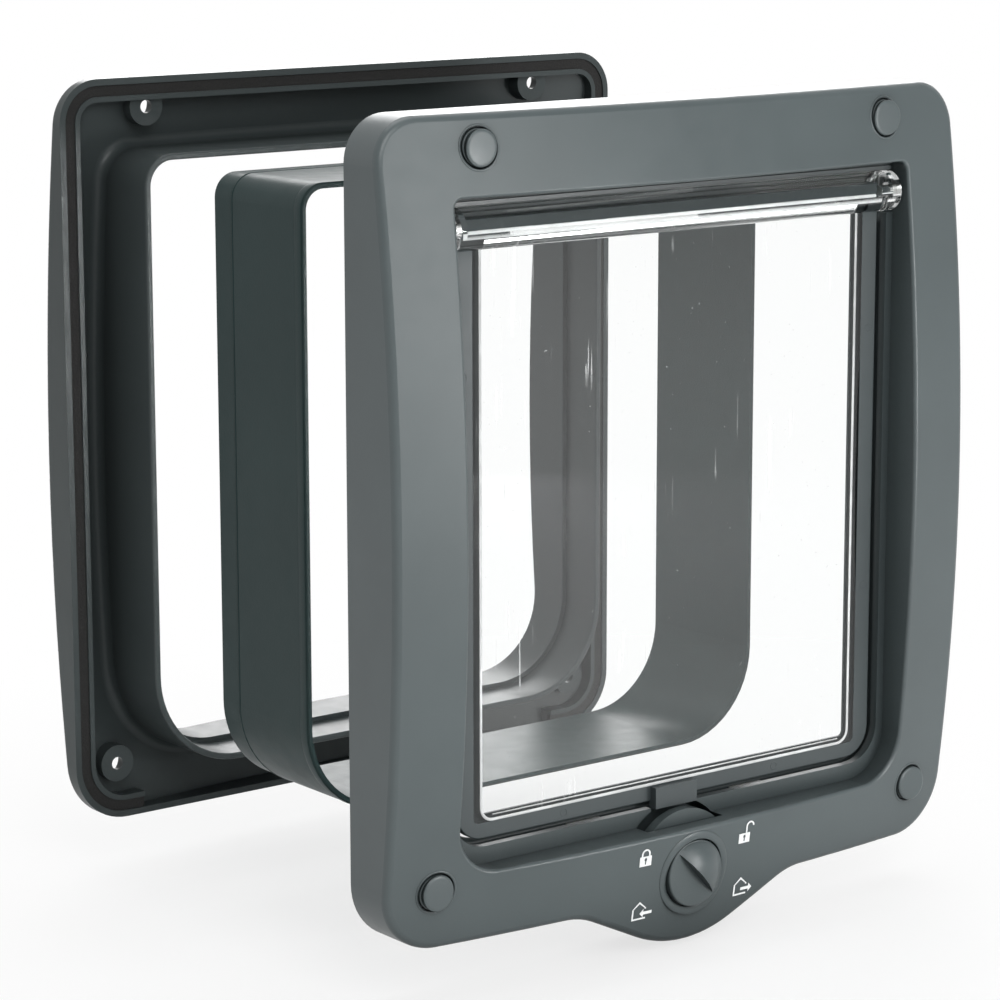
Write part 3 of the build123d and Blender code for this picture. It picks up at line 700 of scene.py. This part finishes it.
def lay_on(shape: Mesh, node: str, centre: Vector, reach: float) -> None:
    """Shifts each vertex along Y by what the node's surface lies off Y = 0 beside it.

    Args:
        shape: the bmesh, built on Y = 0 round the centre.
        node: name of the CAD node whose face to the room carries it.
        centre: the middle of the shape.
        reach: how far from the centre the surface is felt, in the direction of the vertex.
    """
    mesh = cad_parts[node].data
    corners = [vertex.co for vertex in mesh.vertices]
    tree = BVHTree.FromPolygons(corners, [face.vertices for face in mesh.polygons])
    start = Vector((centre.x, CAD_BOX[0][1] - MM, centre.z))
    for vertex in shape.verts:
        outwards = Vector((vertex.co.x - centre.x, 0.0, vertex.co.z - centre.z)).normalized()
        vertex.co.y += tree.ray_cast(start + outwards * reach, -ROOMWARDS)[0].y


def front_of(node: str) -> tuple[Vector, float]:
    """Gives the middle of a round CAD node on Y = 0, and its radius."""
    low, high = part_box(node)
    return Vector(((low.x + high.x) / 2, 0.0, (low.z + high.z) / 2)), (high.x - low.x) / 2


def dress(material: Material, *nodes: str) -> None:
    """Gives one material to CAD nodes and reports them.

    Args:
        material: the finish.
        nodes: names of the nodes.
    """
    for name in nodes:
        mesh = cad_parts[name].data
        mesh.materials.clear()
        mesh.materials.append(material)
        log.info("%s: %s", name, material.name)


def new_object(name: str, shape: Mesh, material: Material) -> bpy.types.Object:
    """Makes an object of a bmesh and puts it in the scene.

    Args:
        name: name of the object.
        shape: its shape, which is freed.
        material: its finish.

    Returns:
        The new object.
    """
    mesh = bpy.data.meshes.new(name)
    shape.to_mesh(mesh)
    shape.free()
    mesh.materials.append(material)
    made = bpy.data.objects.new(name, mesh)
    bpy.context.collection.objects.link(made)
    return made


def new_piece(name: str, shape: Mesh, material: Material, body: str) -> None:
    """Makes a piece of a bmesh, lets it ride on a body and reports it.

    Args:
        name: name of the piece.
        shape: its shape, which is freed.
        material: its finish.
        body: the body that it rides on.
    """
    bmesh.ops.recalc_face_normals(shape, faces=shape.faces)
    for face in shape.faces:
        face.smooth = len(face.verts) == QUAD
    piece = new_object(name, shape, material)
    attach(piece, body)
    log.info("%s: %d faces on %s", name, len(piece.data.polygons), body)


@dataclass(frozen=True)
class Lamp:
    """Soft box that looks at the middle of the part."""

    name: str
    place: Place
    size: Pair
    watts: float
    aim: Place = (0.0, 0.06, 0.0)

    def build(self) -> None:
        """Adds the lamp."""
        data = bpy.data.lights.new(self.name, "AREA")
        data.shape = "RECTANGLE"
        data.size, data.size_y = self.size
        data.energy = self.watts
        lamp = bpy.data.objects.new(self.name, data)
        place = Vector(self.place)
        turn = (place - Vector(self.aim)).to_track_quat("Z", "Y").to_matrix().to_4x4()
        lamp.matrix_world = Matrix.Translation(place) @ turn
        bpy.context.collection.objects.link(lamp)


@dataclass(frozen=True)
class Studio:
    """Floor, lamps, world and camera."""

    LAMPS: ClassVar[tuple[Lamp, ...]] = (
        Lamp("key", (-0.55, -1.45, 1.1), (1.0, 1.0), 15.0),
        Lamp("front", (0.42, -1.4, 0.3), (0.5, 0.7), 4.2),
        Lamp("strip", (0.35, -0.66, -0.1), (0.09, 0.36), 2.1),
        Lamp("top", (0.1, 0.3, 1.6), (1.2, 1.2), 10.0),
        Lamp("back", (1.05, 1.35, 0.62), (1.3, 0.9), 13.0),
    )
    WHITE: ClassVar[Colour] = (1.0, 1.0, 1.0)
    sensor_mm: float = 36.0
    focal_length_mm: float = 125.06
    clip_start: float = 0.01
    azimuth: float = -37.58
    elevation: float = 11.26
    roll: float = -0.08
    target: Place = (-0.0533, 0.0, 0.0008)
    distance: float = 0.9707
    floor_drop: float = 0.002
    floor_size: float = 6.0
    floor_colour: Colour = (0.9, 0.9, 0.9)
    floor_dim: float = 0.99
    floor_specks_per_metre: float = 3.0
    floor_roughness: float = 0.9
    floor_mirrored: float = 0.45
    floor_fade: Pair = (0.16, 0.4)
    floor_white: Pair = (0.72, 1.0)
    world_light: float = 0.38
    camera_side: float = 0.45
    backdrop_band: Pair = (-0.5, 0.2)

    def camera(self) -> None:
        """Places the camera where the photograph was taken from."""
        azimuth = math.radians(self.azimuth)
        elevation = math.radians(self.elevation)
        back = Vector((
            math.sin(azimuth) * math.cos(elevation),
            -math.cos(azimuth) * math.cos(elevation),
            math.sin(elevation),
        ))
        data = bpy.data.cameras.new("camera")
        data.sensor_width = self.sensor_mm
        data.lens = self.focal_length_mm
        data.clip_start = self.clip_start
        eye = bpy.data.objects.new("camera", data)
        eye.matrix_world = (
            Matrix.Translation(Vector(self.target) + back * self.distance)
            @ back.to_track_quat("Z", "Y").to_matrix().to_4x4()
            @ Matrix.Rotation(math.radians(self.roll), 4, "Z")
        )
        bpy.context.collection.objects.link(eye)
        bpy.context.scene.camera = eye

    def pale_floor(self) -> Material:
        """Material that fades from a shaded floor near the part to plain white further off.

        Returns:
            The material.
        """
        graph = Graph("pale_floor")
        specks = graph.noise(self.floor_specks_per_metre)
        shade = graph.mix(specks, self.floor_colour, scaled(self.floor_colour, self.floor_dim))
        graph.link(shade, graph.shader.inputs["Base Color"])
        graph.fix(Roughness=self.floor_roughness)
        length = graph.tree.nodes.new("ShaderNodeVectorMath")
        length.operation = "LENGTH"
        graph.link(graph.place.outputs["Object"], length.inputs[0])
        path = graph.tree.nodes.new("ShaderNodeLightPath")
        seen = graph.math("MULTIPLY", path.outputs["Is Glossy Ray"], self.floor_mirrored)
        for ray in ("Is Transmission Ray", "Is Camera Ray"):
            seen = graph.math("MAXIMUM", seen, path.outputs[ray])
        away = graph.ramp(length.outputs["Value"], self.floor_fade, self.floor_white)
        white = graph.tree.nodes.new("ShaderNodeEmission")
        white.inputs["Color"].default_value = (*self.WHITE, 1.0)
        share = graph.math("MULTIPLY", seen, away)
        graph.show(graph.either(share, graph.shader.outputs["BSDF"], white.outputs["Emission"]))
        return graph.material

    def floor(self) -> None:
        """Plain pale floor under the part."""
        shape = bmesh.new()
        bmesh.ops.create_grid(shape, x_segments=1, y_segments=1, size=self.floor_size)
        bmesh.ops.translate(shape, verts=shape.verts, vec=UP * (CAD_BOX[0][2] - self.floor_drop))
        new_object("floor", shape, self.pale_floor())

    def world(self) -> None:
        """World that is white for the eye and behind the part, and dimmer on the camera's side."""
        world = bpy.data.worlds.new("studio")
        world.use_nodes = True
        tree = world.node_tree
        sky = tree.nodes["Background"]
        sky.inputs["Color"].default_value = (*self.WHITE, 1.0)
        way = tree.nodes.new("ShaderNodeTexCoord")
        axes = tree.nodes.new("ShaderNodeSeparateXYZ")
        tree.links.new(way.outputs["Generated"], axes.inputs["Vector"])
        backdrop = tree.nodes.new("ShaderNodeMapRange")
        limits = (*self.backdrop_band, self.camera_side)
        for name, value in zip(("From Min", "From Max", "To Min"), limits):
            backdrop.inputs[name].default_value = value
        tree.links.new(axes.outputs["Y"], backdrop.inputs["Value"])
        path = tree.nodes.new("ShaderNodeLightPath")
        strength = path.outputs["Is Glossy Ray"]
        for operation, other in (
            ("MULTIPLY", backdrop.outputs["Result"]),
            ("MAXIMUM", self.world_light),
            ("MAXIMUM", path.outputs["Is Camera Ray"]),
            ("MAXIMUM", path.outputs["Is Transmission Ray"]),
        ):
            step = tree.nodes.new("ShaderNodeMath")
            step.operation = operation
            tree.links.new(strength, step.inputs[0])
            if isinstance(other, float):
                step.inputs[1].default_value = other
            else:
                tree.links.new(other, step.inputs[1])
            strength = step.outputs["Value"]
        tree.links.new(strength, sky.inputs["Strength"])
        bpy.context.scene.world = world

    def build(self) -> None:
        """Builds the whole studio."""
        self.camera()
        self.floor()
        self.world()
        for lamp in self.LAMPS:
            lamp.build()
        bpy.context.scene.view_settings.view_transform = "Standard"
        log.info("studio: floor, world, %d lamps and camera", len(self.LAMPS))


@dataclass(frozen=True)
class RoomFrame:
    """Room frame with its caps, signs, hinge and lock."""

    BODY: ClassVar[str] = "room_frame"
    SLOT: ClassVar[str] = "grey_plastic"
    CAPS: ClassVar[tuple[str, ...]] = (
        "cap_top_left", "cap_top_right", "cap_bottom_left", "cap_bottom_right",
    )
    grey: Colour = (0.07, 0.087, 0.09)
    rib_grey: Colour = (0.062, 0.074, 0.076)
    # Painted shade in the grooves between the ribs: how dark, and within what reach.
    rib_painted_shade: float = 0.12
    rib_painted_shade_reach: float = 1.5 * MM
    hidden_grey: Colour = (0.03, 0.035, 0.037)
    hidden_roughness: float = 0.4
    nickel: Colour = (0.5, 0.5, 0.49)
    crown_height: float = 0.45 * MM
    crown_round: float = 1.1 * MM
    crown_inset: float = 0.06 * MM
    crown_steps: int = 8
    crown_dome: tuple[Pair, ...] = ((1 / 2, 1.1), (1 / 8, 1.15))
    lip_offset: float = 0.85 * MM
    lip_bead: Pair = (0.7 * MM, 0.16 * MM)
    knob_ring_gap: float = 0.35 * MM
    knob_ring_bead: Pair = (2.4 * MM, 0.3 * MM)
    knob_ring_steps: int = 12
    knob_ring_turns: int = 64
    stop_half_width: float = 80.4 * MM
    stop_foot: float = -94.3 * MM
    stop_top: float = 70.0 * MM
    stop_depth: float = -7.6 * MM
    stop_radius: float = 11.4 * MM
    stop_bead: Pair = (4.0 * MM, 1.5 * MM)

    def stop_lip(self, material: Material) -> None:
        """Low lip inside the passage, close behind the rim of the flap.

        Args:
            material: its finish.
        """
        low = Vector((-self.stop_half_width, self.stop_depth, self.stop_foot))
        high = Vector((self.stop_half_width, self.stop_depth, self.stop_top))
        shape = trough_bead(low, high, self.stop_radius, self.stop_bead)
        new_piece("passage_lip", shape, material, self.BODY)

    def crown_profile(self, radius: float) -> list[Pair]:
        """Gives the section of the soft crown on a cap.

        Args:
            radius: the cap's radius.

        Returns:
            Radius and height of each ring, from the back's edge to the front.
        """
        flat = radius - self.crown_round
        reach = self.crown_round - self.crown_inset
        profile = [(radius - self.crown_inset, -self.crown_round / 2)]
        for step in range(self.crown_steps + 1):
            angle = math.radians(QUARTER_TURN * step / self.crown_steps)
            profile.append((flat + reach * math.cos(angle), self.crown_height * math.sin(angle)))
        profile += [(flat * share, self.crown_height * rise) for share, rise in self.crown_dome]
        return profile

    def caps(self, material: Material) -> None:
        """Soft crowns on the caps, and a low lip round each cap's well.

        Args:
            material: their finish.
        """
        crowns = bmesh.new()
        for node in self.CAPS:
            middle, radius = front_of(node)
            front = -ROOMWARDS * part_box(node)[0].y
            crown(crowns, middle + front, self.crown_profile(radius))
            lip = bmesh.new()
            reach = radius + self.lip_offset
            ring(lip, middle, reach, self.lip_bead)
            lay_on(lip, "inner_frame", middle, reach)
            new_piece(f"{node}_lip", lip, material, self.BODY)
        new_piece("cap_crowns", crowns, material, self.BODY)

    def knob_ring(self, material: Material) -> None:
        """Soft raised ring round the knob.

        Args:
            material: its finish.
        """
        middle, radius = front_of("lock_knob")
        half_width = self.knob_ring_bead[0] / 2
        reach = radius + self.knob_ring_gap + half_width
        shape = bmesh.new()
        ring(shape, middle, reach, self.knob_ring_bead, self.knob_ring_steps, self.knob_ring_turns)
        lay_on(shape, "inner_frame", middle, reach + half_width)
        new_piece("knob_ring", shape, material, self.BODY)

    def build(self) -> None:
        """Dresses the room frame's and the lock's nodes and adds their small pieces."""
        # The room frame's colour and highlights carry painted shade in corners and recesses.
        shell = MouldedPlastic("room_grey", self.grey).material()
        dress(shell, "inner_frame", *self.CAPS, "lock_knob", "lock_cam_front", "lock_cam_rear")
        # The hinge retainer's ribs carry strong painted shade in their narrow grooves.
        ribs = MouldedPlastic(
            "rib_grey", self.rib_grey, painted_nook_shade=self.rib_painted_shade, painted_shade_reach=self.rib_painted_shade_reach,
        )
        dress(ribs.material(), "hinge_retainer")
        self.caps(shell)
        self.knob_ring(shell)
        self.stop_lip(shell)
        hidden = MouldedPlastic("inner_grey", self.hidden_grey, roughness=self.hidden_roughness)
        dress(hidden.material(), "lock_cover")
        dress(PrintedInk("white_print").material(), "lock_signs")
        steel = BareMetal("steel").material()
        dress(steel, "hinge_pin_left", "hinge_pin_right", "click_spring")
        dress(steel, "cover_screws", "lock_screw")
        dress(BareMetal("nickel", self.nickel).material(), "frame_magnets", "flap_magnets")


@dataclass(frozen=True)
class Flap:
    """Clear window with its barrel and painted highlights along its edges and under the bar, and the
    grey rim with its moulding marks and painted shade.
    """

    BODY: ClassVar[str] = "flap"
    CLEAR_SLOT: ClassVar[str] = "clear_plastic"
    GREY_SLOT: ClassVar[str] = "grey_plastic"
    grey: Colour = (0.055, 0.067, 0.07)
    painted_nook_shade: float = 0.8
    roughness: float = 0.4
    rim_width: float = 5.9 * MM
    rim_lip: float = 3.3 * MM
    rim_thickness: float = 2.6 * MM
    barrel_height: float = 12.0 * MM
    edge_bead: Pair = (0.9 * MM, 0.25 * MM)
    edge_inset: float = 0.25 * MM
    edge_turn: float = 4.0 * MM
    foot_highlight_rise: float = 1.9 * MM
    foot_highlight_bead: Pair = (0.4 * MM, 0.25 * MM)
    bar_foot: float = 78.8 * MM
    glint_drop: float = 0.55 * MM
    glint_bead: Pair = (1.0 * MM, 0.5 * MM)
    glint_setback: float = 5.0 * MM
    glint_glow: float = 0.25
    mark_radius: float = 1.1 * MM
    mark_bead: Pair = (0.25 * MM, 0.06 * MM)
    mark_rise: float = 39.0 * MM
    mark_reach: float = 40.0 * MM

    def face(self) -> float:
        """Gives the Y of the rim's face to the room."""
        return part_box("flap_rim")[1].y - self.rim_thickness

    def edges(self, material: Material) -> None:
        """Painted highlights as bright beads round the window, one that turns its corners and one
        along its bottom.

        Args:
            material: their finish.
        """
        low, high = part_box("flap_window")
        half_bead = self.edge_bead[0] / 2
        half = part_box("flap_rim")[1].x - self.rim_width - self.rim_lip + self.edge_inset + half_bead
        foot = Vector((-half, self.face(), low.z + half_bead))
        top = Vector((half, self.face(), high.z - self.barrel_height))
        shape = trough_bead(foot, top, self.edge_turn, self.edge_bead)
        new_piece("window_edge_highlight", shape, material, self.BODY)
        reach = half - self.edge_turn
        start = Vector((-reach, self.face(), low.z + self.foot_highlight_rise))
        shape = straight_bead(start, RIGHT * (2 * reach), self.foot_highlight_bead)
        new_piece("window_foot_highlight", shape, material, self.BODY)

    def glint(self, material: Material) -> None:
        """Painted glint: a glowing bright strip just under the bar behind the barrel, where the
        barrel's bright streak shows.

        Args:
            material: its finish.
        """
        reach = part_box("flap_window")[1].x - self.glint_setback
        start = Vector((-reach, self.face(), self.bar_foot - self.glint_drop))
        shape = straight_bead(start, RIGHT * (2 * reach), self.glint_bead)
        new_piece("barrel_glint", shape, material, self.BODY)

    def marks(self, material: Material) -> None:
        """Round ejector marks on the rim.

        Args:
            material: their finish.
        """
        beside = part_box("flap_rim")[1].x - self.rim_width / 2
        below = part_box("flap_window")[0].z - 2 * self.mark_radius
        shape = bmesh.new()
        for side in Side:
            places = [(beside, level.value * self.mark_rise) for level in Level]
            places.append((self.mark_reach, below))
            for across, up in places:
                centre = Vector((side.value * across, self.face(), up))
                ring(shape, centre, self.mark_radius, self.mark_bead)
        new_piece("rim_marks", shape, material, self.BODY)

    def build(self) -> None:
        """Dresses the flap's nodes and adds its small pieces."""
        dress(ClearPlastic("clear").material(), "flap_window")
        # The rim's colour and highlights carry painted shade in corners and recesses.
        grey = MouldedPlastic("rim_grey", self.grey, painted_nook_shade=self.painted_nook_shade, roughness=self.roughness)
        rim = grey.material()
        dress(rim, "flap_rim", "flap_tab")
        self.edges(PaintedEdgeHighlight("painted_edge_highlight").material())
        # The barrel's glint glows though it is no lamp: painted light.
        self.glint(PaintedEdgeHighlight("painted_glint_glow", glow=self.glint_glow).material())
        self.marks(rim)


@dataclass(frozen=True)
class Passage:
    """Tunnel and outer frame behind the room frame."""

    BODY: ClassVar[str] = "tunnel"
    SLOT: ClassVar[str] = "grey_plastic"
    # Both colours and highlights carry painted shade in corners and recesses, the outer frame's over
    # a wider reach.
    TUBE: ClassVar[MouldedPlastic] = MouldedPlastic(
        "tunnel_grey", (0.019, 0.037, 0.037), painted_nook_shade=0.8, roughness=0.34, specular=0.18,
        grain_per_metre=1500.0, grain_depth=0.03 * MM,
    )
    SHELL: ClassVar[MouldedPlastic] = MouldedPlastic(
        "outer_grey", (0.047, 0.057, 0.058), painted_nook_shade=0.7, painted_shade_reach=50.0 * MM, painted_glint_shade=0.8,
        specular=0.22,
    )
    corner_radii: Pair = (7.5 * MM, 28.0 * MM)
    ridge_setback: float = 9.5 * MM
    ridge_bead: Pair = (0.6 * MM, 0.18 * MM)
    rim_setback: float = 2.0 * MM
    rim_bead: Pair = (3.4 * MM, 0.18 * MM)

    def ridges(self, material: Material) -> None:
        """Low ridges round the tunnel, one beside its step and one at its near end.

        Args:
            material: their finish.
        """
        low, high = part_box("tunnel")
        shape = bmesh.new()
        hoop(shape, (low, high), high.y - self.ridge_setback, self.corner_radii, self.ridge_bead)
        hoop(shape, (low, high), low.y + self.rim_setback, self.corner_radii, self.rim_bead)
        new_piece("tunnel_ridges", shape, material, self.BODY)

    def build(self) -> None:
        """Dresses the tunnel's and the outer frame's nodes."""
        tube = self.TUBE.material()
        dress(tube, "tunnel")
        self.ridges(tube)
        dress(self.SHELL.material(), "outer_frame")
        dress(FoamStrip("foam").material(), "outer_gasket")


def main() -> None:
    """Builds the studio and dresses each unit."""
    logging.basicConfig(level=logging.INFO, format="%(message)s")
    Studio().build()
    RoomFrame().build()
    Flap().build()
    Passage().build()


if __name__ == "__main__":
    main()
